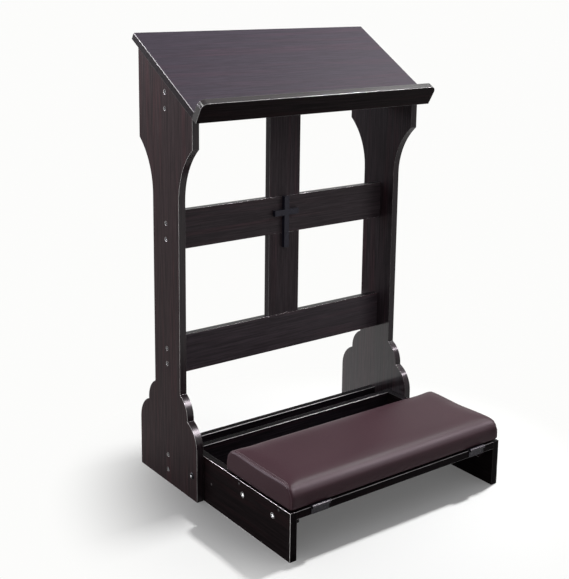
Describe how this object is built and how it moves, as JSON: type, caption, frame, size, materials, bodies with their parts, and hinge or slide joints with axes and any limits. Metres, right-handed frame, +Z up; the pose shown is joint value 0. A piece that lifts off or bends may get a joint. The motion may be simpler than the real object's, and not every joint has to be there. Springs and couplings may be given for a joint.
{
  "type": "folding prayer chair",
  "caption": "Wooden prayer desk: sloped top with a ledge, shaped side panels, rails with a cross, and a padded kneeler that folds up between the panels.",
  "frame": {"origin": "middle of the footprint, on the floor: half-way between the side panels, and half-way between the front of the hinge barrels and the rear edge of the feet", "axes": "+X to the right of someone who faces the desk, -Y to the front where the kneeler is, +Z up"},
  "size_m": [0.577, 0.5084, 0.9014],
  "materials": {
    "board": "dark wood-grain laminate with a satin sheen, fine light arrises",
    "cross_paint": "satin black-blue paint",
    "screw_steel": "bright zinc-plated steel",
    "dark_steel": "dull dark zinc",
    "bracket_steel": "plain zinc-plated steel",
    "hinge_steel": "dark grey satin coating",
    "dowel_wood": "plain beech",
    "plug_plastic": "matt dark cover cap",
    "pad_plywood": "plain plywood",
    "bumper_rubber": "matt black",
    "pad_cover": "soft brown-purple synthetic leather with a satin sheen"
  },
  "bodies": {
    "stand": {"left_side_panel": "board", "right_side_panel": "board", "desk_board": "board", "desk_ledge": "board", "top_rail": "board", "cross_rail": "board", "lower_rail": "board", "bottom_rail": "board", "upper_slat": "board", "lower_slat": "board", "cross_ornament": "cross_paint", "rail_screws": "screw_steel", "slat_dowels": "dowel_wood", "ledge_dowels": "dowel_wood", "desk_brackets": "bracket_steel", "bracket_screws": "bracket_steel", "pivot_bolts": "screw_steel", "pivot_washers": "bracket_steel", "pivot_nuts": "bracket_steel"},
    "kneeler": {"kneeler_side_left": "board", "kneeler_side_right": "board", "kneeler_rear_rail": "board", "kneeler_deck": "board", "deck_cleats": "board", "deck_screws": "dark_steel", "cleat_screws": "screw_steel", "rear_rail_screws": "screw_steel", "side_plugs": "plug_plastic", "hinge_fixed_leaves": "hinge_steel", "hinge_pins": "bracket_steel", "hinge_fixed_screws": "dark_steel"},
    "pad": {"hinge_moving_leaves": "hinge_steel", "hinge_moving_screws": "dark_steel", "pad_board": "pad_plywood", "pad_bumpers": "bumper_rubber", "pad_cushion": "pad_cover"}
  },
  "joints": [
    {"name": "kneeler_fold", "type": "hinge", "parent": "stand", "child": "kneeler", "pos_m": [0, 0.0522, 0.05], "axis": [-1, 0, 0], "range_deg": [0, 87]},
    {"name": "pad_lid", "type": "hinge", "parent": "kneeler", "child": "pad", "pos_m": [0, -0.251, 0.09495], "axis": [1, 0, 0], "range_deg": [0, 180]}
  ]
}
